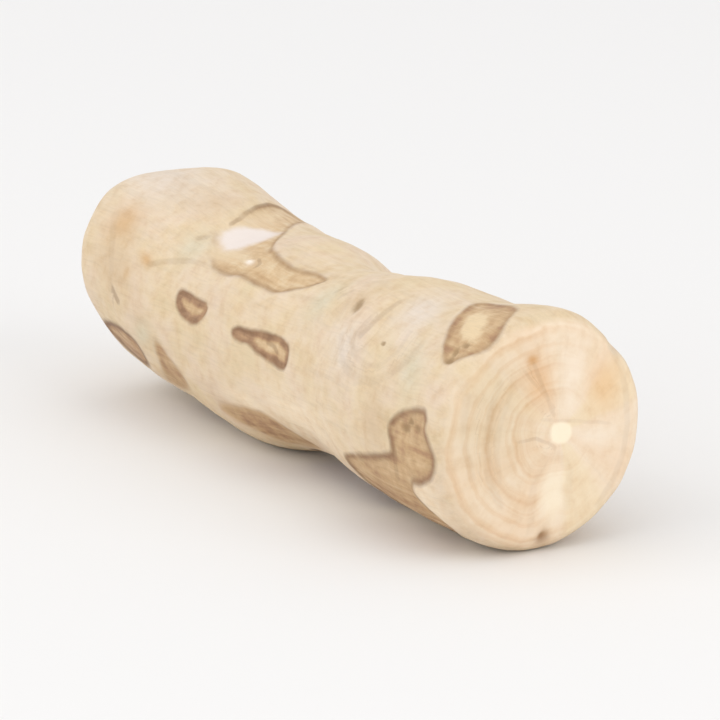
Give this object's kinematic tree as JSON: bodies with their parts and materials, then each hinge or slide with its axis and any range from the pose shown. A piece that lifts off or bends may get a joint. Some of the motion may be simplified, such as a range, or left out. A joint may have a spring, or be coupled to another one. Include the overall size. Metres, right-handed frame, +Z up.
{
  "type": "coffee wood chew stick",
  "caption": "Short thick stick of debarked coffee wood, sawn across at the ends and tumbled smooth, for a dog to chew. It lies loose on its worn underside.",
  "frame": {"origin": "on the surface the stick lies on, under the middle of its bounding box", "axes": "+X along the stick towards its larger sawn end, +Z up, -Y towards the front side"},
  "size_m": [0.1608, 0.0512, 0.051],
  "materials": {
    "sanded_wood": "bare debarked coffee wood, tumbled smooth and dull, pale cream with tan remnants of inner bark edged in brown and growth rings on the sawn ends"
  },
  "bodies": {
    "root": {"stick": "sanded_wood"}
  },
  "joints": []
}
